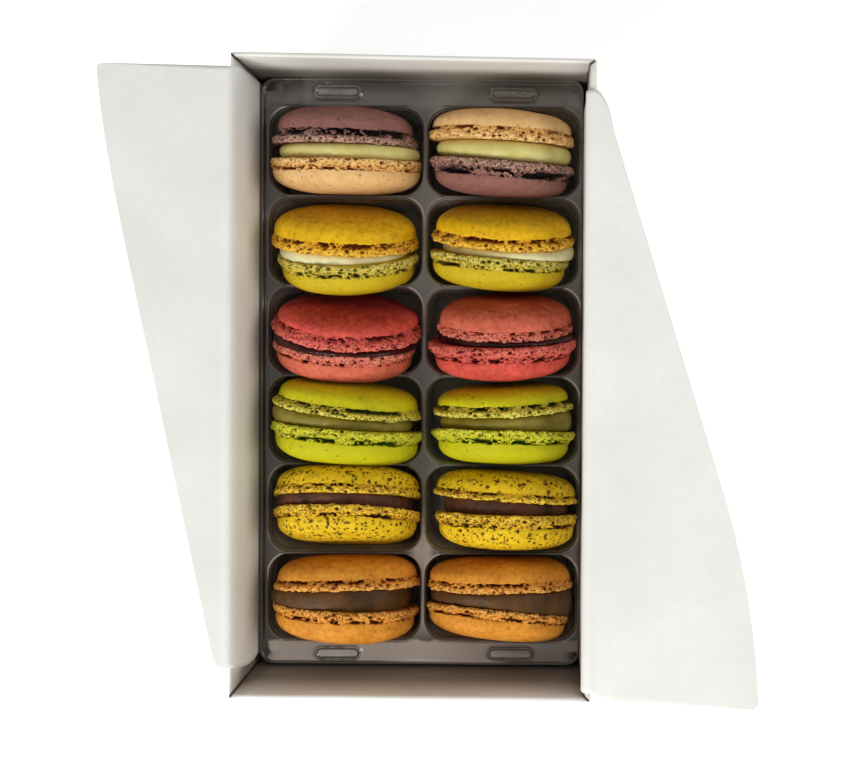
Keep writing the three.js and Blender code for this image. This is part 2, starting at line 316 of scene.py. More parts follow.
def cardMaterial():
    material, shader = newMaterial("whiteCard", Roughness=card["roughness"])
    place = objectPlace(shader)
    cloud = rangeOf(noiseOf(place, 38, 3), 0.35, 0.7)
    fibre = noiseOf(place, 1500, 4, 0.65)
    tone = mixTones(cloud, seen(card["tone"]), seen(card["shade"]))
    tone = mixTones(rangeOf(fibre, 0.4, 0.75, 0, 0.25), tone, seen(card["shade"]))
    # painted shade in the corner tone, beside the slits and low on the end walls
    tone = mixTones(valueOf(shader, "corner"), tone, seen(card["corner"]))
    dress(shader, tone, fibre, card["relief"])
    return material


# The box as one closed skin. Its profile runs out under the base, up the outer face, over the rim as half a
# circle, down the inner face and in over the floor, and at each step it goes round a rectangle. The far wall
# bows out halfway up. At the corners the rim and the inner face are drawn into a slit, where the walls meet.
# Shade is painted into the card beside the slits and low on the end walls' inner faces.
def buildBox():
    rim, fold, height, inner = card["rimRadius"], card["foldRadius"], card["height"], card["inner"]
    sideSteps, cornerSteps = (46, 70), 8
    turn = np.linspace(0, math.pi / 2, 5)
    over = np.linspace(0, math.pi, 9)
    up = np.linspace(fold, height - rim, 16)[1:-1]
    down = np.linspace(height - rim, card["base"], 18)[1:]
    # across: 0 on the outer face and 1 on the inner one; inset: further in, under the base or over the floor
    bend = (1 - np.cos(over)) / 2
    across = np.concatenate([np.zeros(3 + len(turn) + len(up)), bend, np.ones(len(down) + 2)])
    walls = np.zeros(len(up) + len(over) + len(down))
    inset = np.concatenate([[40, 12, 3], fold * (1 - np.sin(turn)), walls, [4, 40]])
    z = np.concatenate([[0, 0, 0], fold * (1 - np.cos(turn)), up, height - rim + rim * np.sin(over), down,
                        [card["base"]] * 2])
    side = card["side"] * (1 - across)
    rightSide = (card["side"] + (card["rightRim"] - card["side"]) * z / height) * (1 - across)
    end = card["end"] * (1 - across)
    bow = card["bow"] * np.sin(math.pi * z / height) * (0.4 + 0.6 * across)
    corner = card["outerCorner"] + (card["innerCorner"] - card["outerCorner"]) * across
    left, right, near, far = [wallAt(wall, z) for wall in inner.values()]
    rings = roundedRings(left - side + inset, right + rightSide - inset, near - end + inset,
                         far + end - inset + bow, corner, z, 0, sideSteps, cornerSteps)
    # slits at the corners, with painted shade beside them
    count = rings.shape[1]
    shade = np.zeros(rings.shape[:2])
    fade = ramp(0, 0.7, across)[:, None] * (inset <= 0)[:, None]
    onRim = (z[:, None] > height - rim) * (across[:, None] < 1)
    cut = np.array([0.2, 0.8, 1.0, 0.8, 0.2])
    for quarter, signs in enumerate([(1, 1), (-1, 1), (-1, -1), (1, -1)]):
        arcs = quarter * (cornerSteps + 1) + cornerSteps // 2
        middle = arcs + quarter // 2 * (sum(sideSteps) - 2) + quarter % 2 * (sideSteps[0] - 1)
        columns = slice(middle - 2, middle + 3)
        for axis, sign in enumerate(signs):
            rings[:, columns, axis] += cut * card["slitDepth"] * sign * fade
        rings[:, columns, 2] -= cut * card["rimNotch"] * fade * onRim
        gap = abs((np.arange(count) - middle + count // 2) % count - count // 2)
        shade += (ramp(6, 2, gap) + ramp(2, 0, gap)) * fade * card["slitShade"]
    # painted shade: the end walls' inner faces are darker low down, beside the tray
    inside = (across >= 1)[:, None]
    nearWall, farWall = rings[..., 1] < inner["near"][1] + 4, rings[..., 1] > inner["far"][1] - 4
    shade += inside * card["nearShade"] * ramp(*card["nearFade"], z)[:, None] * nearWall
    shade += inside * card["farShade"] * ramp(*card["farFade"], z)[:, None] * farWall
    # the card isn't quite flat, and both ends stand a little askew at the rim
    skew = np.where(rings[..., 1] > 0, card["farSkew"], card["nearSkew"])
    rings[..., 1] += skew * rings[..., 0] * z[:, None] / height
    rings[..., 0] += card["unevenX"] * softNoise(rings * [1, 1, 0.5], 45, 11) * ramp(3, 30, z)[:, None]
    rings[..., 1] += card["unevenY"] * softNoise(rings * [1, 1, 0.5], 38, 12) * ramp(3, 30, z)[:, None]
    rings[..., 2] += card["unevenRim"] * (softNoise(rings, 42, 13) - 1) * (z[:, None] > height - 3)
    middleX = (inner["left"][0] + inner["right"][0]) / 2
    points, quads, triangles = ringSurface(rings, [middleX, 0, 0], [middleX, 0, card["base"]])
    # the corner attribute holds the painted shade
    obj = putMesh("card_box", points, quads, triangles, {"corner": np.append(np.clip(shade, 0, 1), [0, 0])})
    finishPiece(obj, "box", "card", cardMaterial(), "box")


buildBox()
print("card box done")


# ---- insert tray

tray = {
    "rows": 6, "pitch": 28.8, "middleY": 0.1, "columns": (-24.9, 25.7), "halfX": 24.75, "halfY": 14.15,
    "corner": 6.8, "draft": 0.02, "lip": 0.5, "step": 0.4, "floorFillet": 3, "floor": 1.3, "deck": 28,
    "left": -50.6, "right": 50.65, "near": -92.3, "far": 94.0, "middleX": 0.4, "sheet": 0.2,
    "flange": {"left": 1.7, "right": 0.25, "near": 0.9, "far": 1.2},      # width beyond the deck
    "edgeCorner": 3.5, "edgeHeight": 1.3, "ripple": 0.14, "sway": 0.12,
    "pills": [(-27.8, 90.9), (28.7, 90.5), (-27.0, -90.0), (28.9, -89.9)],
    "pillLength": 16.4, "pillWidth": 5.7, "pillHeight": 0.9,
    "cellSteps": ((18, 5), 12),        # points along the sides of a cell and round a corner
    # the tray is clear plastic: its grey tone is painted shade of the box floor seen through it
    "tone": (90, 87, 82), "deep": (216, 210, 198), "film": (122, 117, 110), "dim": (66, 62, 57),
    # the paler ledge tone is a painted reflection; glint paints highlights, rim faintly along every lip
    "scuff": (218, 210, 202), "glint": (252, 250, 246), "rim": 0.14,
    # where one tone fades into another, from and to
    "deckZ": (22, 27.4), "dimX": (-43, -49.5), "farLedgeY": (85, 86.5), "farCornerX": (-37.5, -39.5),
    "scuffY": (-83.8, -84.8), "scuffLeftX": (-46.8, -45.5), "scuffRightX": (0, 40), "scuffLowZ": (26.5, 27.5),
    "scuffHighZ": (28.35, 28.6), "ridgeFarY": (-45, -55), "ridgeNearY": (-86, -80), "ridgeX": (4, 2),
    # painted glints on the lips: column, row, angle of the arc round the pocket from +X in degrees, strength
    "glints": [(0, 1, 125, 0.6), (0, 2, 40, 0.6), (0, 3, 40, 0.5), (0, 5, 140, 0.5), (0, 6, 140, 1.0),
               (0, 6, 48, 0.6), (1, 2, 40, 0.3), (1, 3, 42, 0.8), (1, 4, 40, 0.8), (1, 5, 45, 0.6),
               (1, 5, -30, 0.4), (1, 6, 38, 1.0), (1, 6, 140, 0.7), (0, 4, 40, 0.3), (0, 5, -45, 0.3)],
    "glintWidth": 17, "pillGlints": [0.35, 0.25, 0.8, 0.3],
    "roughness": 0.1, "roughRange": (0.06, 0.2), "coat": 0.9, "coatRoughness": 0.04, "relief": 1.8,
}


def trayMaterial():
    material, shader = newMaterial("smokyPlastic", Roughness=tray["roughness"], Coat_Weight=tray["coat"],
                                   Coat_Roughness=tray["coatRoughness"], IOR=1.5)
    place = objectPlace(shader)
    cloud = noiseOf(place, 26, 3)
    streak = noiseOf(place, 120, 3, 0.55)
    ragged = noiseOf(place, 340, 4, 0.6)
    x, y, z = addNode(place, "ShaderNodeSeparateXYZ", {"Vector": place}).outputs
    # painted shade: the deck's grey tone, varied by a cloud
    deck = mixTones(rangeOf(cloud, 0.35, 0.7, 0, 0.5), seen(tray["tone"]), seen(tray["film"]))
    # painted shade: the deck turns darker towards the left wall
    deck = mixTones(fadeOf(x, tray["dimX"], 0, 0.85), deck, seen(tray["dim"]))
    # the far ledge is a little paler but for its left end, which has painted shade in the corner
    farLedge = fadeOf(y, tray["farLedgeY"])
    deck = mixTones(productOf(farLedge, 0.45), deck, seen(tray["film"]))
    deck = mixTones(productOf(farLedge, fadeOf(x, tray["farCornerX"], 0, 0.6)), deck, seen(tray["dim"]))
    # painted reflection: the near ledge and the near end of the middle ridge are paler, with a ragged left
    # end
    roughX = sumOf(x, productOf(ragged, 0.006))
    roughY = sumOf(y, productOf(streak, 0.003))
    ledge = productOf(fadeOf(roughY, tray["scuffY"]), fadeOf(roughX, tray["scuffLeftX"]),
                      fadeOf(x, tray["scuffRightX"], 1.0, 0.45))
    ridge = productOf(fadeOf(roughY, tray["ridgeFarY"]), fadeOf(y, tray["ridgeNearY"]),
                      fadeOf(mathOf("ABSOLUTE", x, 0.0), tray["ridgeX"], 0, 0.7))
    pale = productOf(mathOf("MAXIMUM", ledge, ridge), fadeOf(z, tray["scuffLowZ"]),
                     fadeOf(z, tray["scuffHighZ"], 1, 0))
    deck = mixTones(pale, deck, seen(tray["scuff"]))
    # painted light: the pockets turn paler low down, for light coming through the clear plastic
    tone = mixTones(fadeOf(z, tray["deckZ"]), seen(tray["deep"]), deck)
    # painted highlights from the glint attribute, on the lips, pills and near edge
    tone = mixTones(valueOf(shader, "glint"), tone, seen(tray["glint"]))
    feed(shader.inputs["Roughness"], rangeOf(streak, 0.3, 0.8, *tray["roughRange"]))
    dress(shader, tone, sumOf(cloud, productOf(streak, 0.14)), tray["relief"])
    return material


def pocketMiddle(column, row):
    return tray["columns"][column], tray["middleY"] + ((tray["rows"] + 1) / 2 - row) * tray["pitch"]


# Rings round the middle of a cell, each drawn in by its inset. All cells have the same points round them, so
# that they meet without a gap.
def cellRings(middle, half, inset, radius, z):
    (x, y), (halfX, halfY) = middle, half
    return roundedRings(x - halfX + inset, x + halfX - inset, y - halfY + inset, y + halfY - inset,
                        radius, z, 0, *tray["cellSteps"])


# The square edge of a cell, stretched along Y so that neighbours' points match.
def cellEdge(left, right, near, far):
    pitch = tray["pitch"]
    ring = roundedRings(left, right, 0, pitch, tray["corner"], tray["deck"], 1, *tray["cellSteps"])
    ring[..., 1] = near + ring[..., 1] * (far - near) / pitch
    return ring


# A patch that faces up: the square edge, two rings on the way in, the inner rings and a pole.
def closedPatch(edge, inner, pole, shine):
    between = edge + (inner[:1] - edge) * np.array([0, 0.4, 0.75])[:, None, None]
    rings = np.concatenate([between, inner])
    count, width = rings.shape[:2]
    points = np.concatenate([rings.reshape(-1, 3), [pole]])
    start = (count - 1) * width
    j = np.arange(width)
    last = np.stack([start + j, start + (j + 1) % width, np.full(width, count * width)], -1)
    shine = shine + np.zeros(inner.shape[:2])
    glint = np.concatenate([np.zeros(len(between) * width), shine.ravel(), shine[-1:, 0]])
    return points, gridFaces(count, width, wrap=True), last, np.clip(glint, 0, 1)


# A cell of the deck with its pocket: rings from the square edge over the lip, down the drafted wall, round
# the fillet at the floor, to a pole in the floor's middle.
def pocketPatch(column, row, left, right):
    x, y = pocketMiddle(column, row)
    lip, fillet, deck, floor, draft = [tray[key] for key in ("lip", "floorFillet", "deck", "floor", "draft")]
    lipTurn = np.linspace(0, math.pi / 2, 5)
    floorTurn = np.linspace(0, math.pi / 2, 7)[1:]
    wallZ = np.concatenate([deck - lip - np.array([0.5, 0.7, 0.95, 1.1, 1.25]),
                            np.linspace(deck - lip - 1.25, floor + fillet, 5)[1:]])
    step = tray["step"] * np.array([0, 0.15, 0.85, 1, 1, 1, 1, 1, 1])
    z = np.concatenate([deck - lip + lip * np.cos(lipTurn), wallZ, floor + fillet * (1 - np.sin(floorTurn)),
                        [floor]])
    inset = np.concatenate([-lip * (1 - np.sin(lipTurn)), (deck - wallZ) * draft + step,
                            (deck - floor) * draft + tray["step"] + fillet * (1 - np.cos(floorTurn)), [8]])
    radius = np.maximum(tray["corner"] - np.maximum(inset, 0) * 0.6, 1)
    pocket = cellRings((x, y), (tray["halfX"], tray["halfY"]), inset, radius, z)
    # painted glints: the lip is paler along some arcs, and faintly all round
    turn = np.degrees(np.arctan2(pocket[..., 1] - y, (pocket[..., 0] - x) * tray["halfY"] / tray["halfX"]))
    shine = tray["rim"]
    for glintColumn, glintRow, angle, strength in tray["glints"]:
        if (glintColumn, glintRow) == (column, row):
            shine = np.maximum(shine, strength * np.exp(-((turn - angle) / tray["glintWidth"]) ** 4))
    shine = shine * np.concatenate([[0, 0.7, 1, 1, 0.5], np.zeros(len(z) - 5)])[:, None]
    edge = cellEdge(left, right, y - tray["pitch"] / 2, y + tray["pitch"] / 2)
    return closedPatch(edge, pocket, [x, y, floor], shine)


# A cell of the ledge at an end with its raised pill: rings from the square edge to the pill's outline, up its
# slope, over a narrow rim and down into its dished top. Highlights are painted on its rim and in its dish.
def pillPatch(middle, shine, left, right, near, far):
    inset = np.array([-0.25, 0.0, 0.15, 0.75, 0.9, 1.25, 1.4, 1.75, 1.9, 2.4])
    rise = np.array([0, 0.03, 0.15, 0.85, 0.97, 0.97, 0.9, 0.5, 0.42, 0.42])
    glint = np.array([0, 0, 0.2, 0.5, 0.8, 0.2, 0, 0, 0.9, 1.1])
    z = tray["deck"] + tray["pillHeight"] * rise
    half = (tray["pillLength"] / 2, tray["pillWidth"] / 2)
    pill = cellRings(middle, half, inset, half[1] - inset - 0.02, z)
    bright = shine * (0.5 + 0.5 * softNoise(pill, 1.6, 24)) * glint[:, None]
    return closedPatch(cellEdge(left, right, near, far), pill, [*middle, z[-1]], bright)


# The raised edge: the deck's outline carried outward. Points near a corner fan out round it, so that the
# outer rings have round corners, and the width blends from one side to the next.
def edgeRings(outline):
    corner, high, flange = tray["edgeCorner"], tray["edgeHeight"], tray["flange"]
    low = np.array([tray["left"], tray["near"]])
    top = np.array([tray["right"], tray["far"]])
    core = np.clip(outline, low + corner, top - corner)
    away = outline - core
    away /= np.linalg.norm(away, axis=1)[:, None]
    wide = np.where(away[:, 0] > 0, flange["right"], flange["left"]) * away[:, 0] ** 2
    room = (wide + np.where(away[:, 1] > 0, flange["far"], flange["near"]) * away[:, 1] ** 2)[:, None]
    share = np.array([0.0, 0.08, 0.3, 0.42, 0.5, 0.9, 0.97, 1.0, 1.0])
    lift = high * np.array([0.0, 0.1, 0.75, 0.95, 1.0, 1.0, 0.95, 0.88, -1.0])
    rings = [np.column_stack([outline, np.full(len(outline), tray["deck"])])]
    for out, z in zip(share, lift):
        flat = core + away * (corner + out * room)
        rings.append(np.column_stack([flat, np.full(len(outline), tray["deck"] + z)]))
    return np.array(rings)


def buildTray():
    deck, near, far = tray["deck"], tray["near"], tray["far"]
    reach = tray["rows"] / 2 * tray["pitch"]
    patches = []
    for column, span in enumerate([("left", "middleX"), ("middleX", "right")]):
        left, right = [tray[key] for key in span]
        patches += [pocketPatch(column, row + 1, left, right) for row in range(tray["rows"])]
        for pill, (low, high) in enumerate([(tray["middleY"] + reach, far), (near, tray["middleY"] - reach)]):
            index = column + 2 * pill
            patches.append(pillPatch(tray["pills"][index], tray["pillGlints"][index], left, right, low, high))
    points, quads, triangles, glints = zip(*patches)
    starts = np.cumsum([0] + [len(patch) for patch in points])
    points = np.concatenate(points)
    # the outline is every deck point on the outer rectangle, in order round it
    nearly = 1e-6
    onDeck = points[abs(points[:, 2] - deck) < nearly][:, :2]
    x, y = onDeck.T
    gaps = abs(np.stack([x - tray["left"], x - tray["right"], y - near, y - far]))
    outline = np.unique(np.round(onDeck[gaps.min(axis=0) < nearly], 5), axis=0)
    outline = outline[np.argsort(np.arctan2(outline[:, 1] / far, outline[:, 0] / tray["right"]))]
    rings = edgeRings(outline)
    edgeQuads = gridFaces(len(rings), len(outline), wrap=True)[:, ::-1] + starts[-1]
    quads = np.concatenate([patch + start for patch, start in zip(quads, starts)] + [edgeQuads])
    triangles = np.concatenate([patch + start for patch, start in zip(triangles, starts)])
    points = np.concatenate([points, rings.reshape(-1, 3)])
    # a painted highlight along the near side, where the edge starts to rise
    line = ramp(-16, -4, rings[..., 0]) * ramp(29, 26, rings[..., 0]) * (rings[..., 1] < near + 0.5)
    line = line * np.array([0, 1, 0.9, 0.3, 0, 0, 0, 0, 0, 0])[:, None]
    # the thin sheet ripples and sways a little
    points[:, 2] += tray["ripple"] * softNoise(points * [1, 1, 0.2], 17, 21) * ramp(20, 28, points[:, 2])
    points[:, 0] += tray["sway"] * softNoise(points, 21, 22)
    points[:, 1] += tray["sway"] * softNoise(points, 19, 23)
    obj = putMesh("insert_tray", points, quads, triangles, {"glint": np.concatenate([*glints, line.ravel()])})
    obj.modifiers.new("weld", "WELD").merge_threshold = 0.02 * mm
    solid = obj.modifiers.new("sheet", "SOLIDIFY")
    solid.thickness = tray["sheet"] * mm
    solid.offset = -1
    finishPiece(obj, "box", "tray", trayMaterial(), "tray_left", "tray_right")


buildTray()
print("insert tray done")


# ---- paper sheets: each lines a side wall, turns over the rim and runs out as a slanted wing

paper = {
    "thickness": 0.3, "gap": 0.475, "foot": 0.95, "ripple": 0.38, "wallRipple": 0.12,
    "tone": (248, 248, 243), "shade": (234, 234, 227), "roughness": 0.62, "relief": 0.03,
}
leftSheet = {
    "name": "sheet_left", "wall": (-51.6, -54.6), "inward": 1, "body": "wing_left", "seed": 31,
    "fold": (-55.4, 52.5), "rise": 7.8, "outward": -1, "reach": 36.4,
    "crest": [(-53.78, 46.0), (-53.9, 51.2), (-54.15, 53.0), (-57.2, 52.75)],
    "blend": ((-54.2, 51.9), (-55.7, 52.6)),
    "linerNear": [(0, -89), (28, -90), (33, -90.6), (38, -90.2), (43, -88.9), (48, -87.2), (52, -85.6)],
    "linerFar": [(0, 93.4), (31, 93.5), (38, 93.4), (45, 92.9), (52, 91.5)],
    "wingNear": [[(0, -85.8), (2.2, -86.4)], [(2.2, -86.4), (3.9, -86.2), (4.9, -80.3)],
                 [(4.9, -80.3), (27.3, 31.3)], [(27.3, 31.3), (35.2, 70), (36.4, 88.6)]],
    "wingFar": [[(0, 91.2), (34.6, 90.3)], [(34.6, 90.3), (36.0, 90.2), (36.4, 89.2)]],
}
rightSheet = {
    "name": "sheet_right", "wall": (53.9, 50.3), "inward": -1, "body": "wing_right", "seed": 32,
    "fold": (52.0, 52.5), "rise": 9.4, "outward": 1, "reach": 46.8,
    "crest": [(50.38, 44.0), (50.1, 48.0), (48.4, 50.4), (48.7, 52.9), (50.2, 52.95), (52.6, 52.7),
              (53.6, 52.77)],
    "blend": ((50.4, 52.2), (52.6, 52.7)),
    "linerNear": [(0, -92.6), (30, -92.6), (44, -92.3), (52, -91.8)],
    "linerFar": [(0, 85.6), (30, 85.4), (44, 85.2), (52, 84.9)],
    "wingNear": [[(0, -92.6), (1.5, -94.0), (4, -94.0)], [(4, -94.0), (44.8, -93.8)],
                 [(44.8, -93.8), (46.6, -93.6), (46.8, -91.8)]],
    "wingFar": [[(0, 85), (3.6, 82.4), (4.9, 73.2)], [(4.9, 73.2), (38.2, -36.6)],
                [(38.2, -36.6), (46.0, -66), (46.8, -91.6)]],
}


def paperMaterial():
    material, shader = newMaterial("whitePaper", Roughness=paper["roughness"])
    place = objectPlace(shader)
    cloud = rangeOf(noiseOf(place, 30, 4, 0.55), 0.3, 0.72)
    fibre = noiseOf(place, 900, 4, 0.7)
    mottle = rangeOf(noiseOf(place, 420, 3, 0.6), 0.35, 0.75, 0, 0.4)
    tone = mixTones(cloud, seen(paper["tone"]), seen(paper["shade"]))
    tone = mixTones(mottle, tone, seen(paper["shade"]))
    dress(shader, tone, sumOf(productOf(cloud, 6.0), fibre), paper["relief"])
    return material


# The sheet's section is a line up the wall, a Bezier curve over the rim and a straight rise along the wing.
# Along the box it runs between two edges, each a function of the place on the section.
def buildSheet(sheet, material):
    (foldX, foldZ), out, inward = sheet["fold"], sheet["outward"], sheet["inward"]
    climb = np.linspace(paper["foot"], sheet["crest"][0][1], 22)[:-1]
    wall = np.stack([wallAt(sheet["wall"], climb) + inward * paper["gap"], climb], -1)
    crest = bezier(sheet["crest"], 22)
    reach = np.linspace((crest[-1, 0] - foldX) * out, sheet["reach"], 90)[1:]
    rise = math.tan(math.radians(sheet["rise"]))
    wing = np.stack([foldX + out * reach, foldZ + reach * rise], -1)
    section = np.concatenate([wall, crest, wing])
    u = (section[:, 0] - foldX) * out
    up = section[:, 1]
    turnRow = len(wall) + 6        # where the liner's edges hand over to the wing's
    blendRows = slice(turnRow - 5, turnRow + 8)

    def edge(liner, curves):
        curve = np.concatenate([bezier(c, 24) for c in curves])
        onWall, onWing = np.interp(up, *np.array(liner).T), np.interp(u, *curve.T)
        line = np.where(np.arange(len(u)) < turnRow, onWall, onWing)
        line[blendRows] = np.linspace(*line[blendRows][[0, -1]], len(line[blendRows]))
        return line

    near = edge(sheet["linerNear"], sheet["wingNear"])
    far = edge(sheet["linerFar"], sheet["wingFar"])
    y = near[:, None] + (far - near)[:, None] * np.linspace(0, 1, 130)
    grid = pointsOf(section[:, :1], y, section[:, 1:])
    along = np.gradient(section, axis=0)
    along /= np.linalg.norm(along, axis=1)[:, None]
    normals = pointsOf(along[:, 1:] * inward, 0 * y, -along[:, :1] * inward)
    # soft waves that grow away from the fold, and slight ones down the wall
    free = ramp(1, 30, u)[:, None] * paper["ripple"] + ramp(50, 42, up)[:, None] * paper["wallRipple"]
    wave = softNoise(grid * [0.6, 1, 0.3], 34, sheet["seed"]) + 0.35 * softNoise(grid, 12, sheet["seed"] + 5)
    grid += normals * (free * wave)[..., None]
    if inward < 0:
        grid, normals = grid[:, ::-1], normals[:, ::-1]
    obj = thickSheet(sheet["name"], grid, normals, paper["thickness"])
    side = sheet["name"].split("_")[1]
    finishPiece(obj, None, "paper", material, "liner_" + side, "flap_" + side)
    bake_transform(obj)


whitePaper = paperMaterial()
for sheet in (leftSheet, rightSheet):
    buildSheet(sheet, whitePaper)
print("paper sheets done")


# ---- macarons

shape = {
    "turns": 280, "gather": 0.55,            # points round a shell, and how strongly they gather at its top
    "shoulder": 0.4,                        # how sharply a dome turns to its skirt
    "lip": 1.7, "fillingTurns": 220, "clearance": 0.35,
    "holes": 1.45, "pits": 0.78,            # the cells of the two foams in the foot
    "tearDepth": 1.6, "holeDepth": 0.95, "pitDepth": 0.4, "deepest": 2.0,
    # the domes turn browner towards their middle, partly browning and partly painted shade where they turn
    # from the light
    "toastAbove": 1.0, "toastBelow": 0.3,   # how brown the domes of upper and lower shells are in the middle
    # spots in a shell's look: cells to the metre, radius, chance and strength
    "specks": [(330, 0.13, 0.3, 0.5), (620, 0.2, 0.45, 0.45)], "pores": (1250, 0.3, 0.4, 0.8),
    "flecks": [(330, 0.18, 0.45, 0.9), (560, 0.25, 0.45, 0.9), (980, 0.3, 0.5, 0.9)], "scatter": 0.0011,
    "vanilla": (90, 80, 40),
}

# Each flavour: tones of the dome and the foot, how full the dome is, the share of specks, how deeply the
# foot is broken up, and the height where its tears start with how many there are. The pore tone is painted
# shade in the foot's tears, holes and pits, and also the tone of specks and flecks; the crumb tone is partly
# a painted highlight on the raised crumbs.
flavours = {
    "mauve": dict(dome=(152, 104, 92), mottle=(120, 76, 70), crumb=(200, 160, 138), foot=(138, 94, 84),
                  pore=(24, 12, 14), crown=3.0, specks=0.1, rough=1.2, tear=(0.4, 0.14)),
    "beige": dict(dome=(238, 194, 132), mottle=(206, 158, 96), crumb=(250, 212, 140), foot=(232, 174, 94),
                  pore=(140, 66, 20), crown=3.0, specks=0.3, rough=0.9, tear=(0.62, 0.0)),
    "golden": dict(dome=(246, 196, 8), mottle=(180, 128, 2), crumb=(250, 204, 74), foot=(234, 170, 28),
                   pore=(112, 48, 6), crown=2.9, specks=0.18, rough=1.0, tear=(0.55, 0.03)),
    "lime": dict(dome=(214, 188, 26), mottle=(190, 160, 10), crumb=(232, 218, 116), foot=(206, 182, 50),
                 pore=(78, 78, 12), crown=2.9, specks=0.22, rough=1.0, tear=(0.6, -0.1)),
    "coral": dict(dome=(236, 94, 80), mottle=(152, 42, 30), crumb=(238, 128, 110), foot=(214, 86, 74),
                  pore=(96, 10, 14), crown=2.9, specks=0.15, rough=1.15, tear=(0.58, -0.15)),
    "salmon": dict(dome=(226, 116, 88), mottle=(160, 62, 38), crumb=(238, 152, 126), foot=(216, 106, 84),
                   pore=(104, 18, 16), crown=3.0, specks=0.15, rough=1.0, tear=(0.62, -0.15)),
    "olive": dict(dome=(212, 207, 10), mottle=(184, 169, 4), crumb=(238, 226, 108), foot=(206, 190, 44),
                  pore=(50, 54, 6), crown=4.2, specks=0.2, rough=1.1, tear=(0.5, 0.02)),
    "green": dict(dome=(200, 198, 6), mottle=(186, 176, 4), crumb=(232, 226, 72), foot=(196, 190, 20),
                  pore=(54, 86, 6), crown=4.0, specks=0.28, rough=1.1, tear=(0.55, -0.02)),
    "speckled": dict(dome=(246, 206, 22), mottle=(196, 152, 10), crumb=(252, 212, 72), foot=(234, 182, 28),
                     pore=(62, 28, 8), crown=3.5, specks=1.0, rough=0.95, tear=(0.6, -0.1)),
    "caramel": dict(dome=(240, 163, 55), mottle=(178, 100, 8), crumb=(248, 184, 92), foot=(226, 146, 46),
                    pore=(98, 38, 10), crown=3.1, specks=0.2, rough=0.95, tear=(0.58, -0.06)),
}
fillings = {
    "cream": dict(tone=(224, 214, 138), shade=(204, 190, 104), roughness=0.45, streaks=0.0, round=0.95),
    "white": dict(tone=(240, 236, 190), shade=(224, 217, 160), roughness=0.42, streaks=0.0, round=0.6),
    "jam": dict(tone=(64, 12, 12), shade=(30, 4, 6), roughness=0.2, streaks=0.5, round=0.5),
    "pistachio": dict(tone=(150, 134, 52), shade=(116, 104, 28), roughness=0.5, streaks=0.1, round=0.6),
    "chocolate": dict(tone=(98, 56, 34), shade=(60, 33, 20), roughness=0.6, streaks=1.0, round=0.35),
    "toffee": dict(tone=(98, 62, 20), shade=(60, 39, 10), roughness=0.6, streaks=0.12, round=0.4),
}

# Each row from the far end: upper shell, filling and lower shell, and whether the right one is turned over.
rowKinds = [
    ("mauve", "cream", "beige", True), ("golden", "white", "lime", False), ("coral", "jam", "salmon", True),
    ("olive", "pistachio", "green", False), ("speckled", "chocolate", "speckled", False),
    ("caramel", "toffee", "caramel", False),
]

# Each macaron, left and right in turn from the far end: the height of its axis, the ends of the filling along
# X, and the upper and the lower shell: X and Y of the middle of its flat side, lean and turn in degrees, foot
# height and radius, and dome height and radius.
macarons = [
    (26.2, (-46.2, -1.5), (-25.3, 73.8, 9.0, -1.6, 4.2, 23.2, 7.9, 21.5),
     (-24.9, 69.4, 9.9, -0.9, 3.5, 24.0, 7.3, 23.6)),
    (25.6, (4.1, 47.5), (24.8, 75.2, 9.2, -3.1, 3.8, 23.2, 6.5, 22.3),
     (25.2, 69.5, 10.6, -4.3, 4.7, 23.0, 6.7, 21.4)),
    (24.9, (-46.5, -5.0), (-25.4, 42.3, 15.1, -2.6, 3.8, 23.6, 8.6, 22.7),
     (-24.5, 39.7, 16.5, 0.0, 3.9, 22.7, 8.0, 21.4)),
    (24.6, (6.2, 48.6), (25.7, 44.1, 15.1, -2.3, 3.5, 23.1, 7.7, 21.9),
     (24.6, 39.6, 9.2, -4.0, 3.6, 22.5, 7.6, 21.5)),
    (25.1, (-48.4, -1.7), (-24.4, 14.8, 17.0, -4.9, 4.3, 24.2, 4.7, 22.5),
     (-25.4, 10.9, 10.9, -4.1, 3.3, 23.1, 7.9, 21.9)),
    (25.9, (4.8, 48.8), (26.6, 15.1, 11.3, 0.7, 3.0, 21.8, 7.9, 21.3),
     (25.6, 12.0, 7.0, 1.5, 4.8, 24.1, 7.5, 21.8)),
    (25.9, (-48.4, -3.3), (-24.4, -11.3, 0.9, -6.9, 2.9, 24.2, 6.4, 22.5),
     (-24.1, -16.6, -3.0, -4.3, 4.2, 24.6, 7.4, 23.0)),
    (24.8, (5.6, 48.4), (26.1, -11.3, 0.8, 2.8, 3.2, 22.9, 5.3, 21.2),
     (26.2, -17.7, -5.5, -1.0, 3.9, 23.2, 6.7, 21.1)),
    (25.6, (-47.0, -3.1), (-24.1, -40.0, -14.6, -0.5, 2.7, 23.8, 7.3, 23.1),
     (-24.1, -44.6, -17.0, -1.1, 3.4, 23.9, 6.7, 22.3)),
    (24.9, (7.0, 47.6), (27.0, -39.9, -7.7, -3.6, 2.3, 23.8, 6.8, 22.7),
     (27.4, -44.7, -8.9, -1.0, 3.9, 23.0, 7.4, 21.9)),
    (25.9, (-48.7, -3.3), (-24.1, -69.1, -12.8, 1.7, 3.0, 23.8, 7.6, 22.6),
     (-24.5, -74.4, -10.1, -2.8, 3.3, 23.7, 8.1, 22.4)),
    (25.9, (3.0, 48.8), (25.5, -68.8, -10.7, 0.6, 2.9, 23.4, 7.2, 22.9),
     (24.8, -75.9, -15.7, -5.5, 2.9, 22.9, 6.6, 22.0)),
]


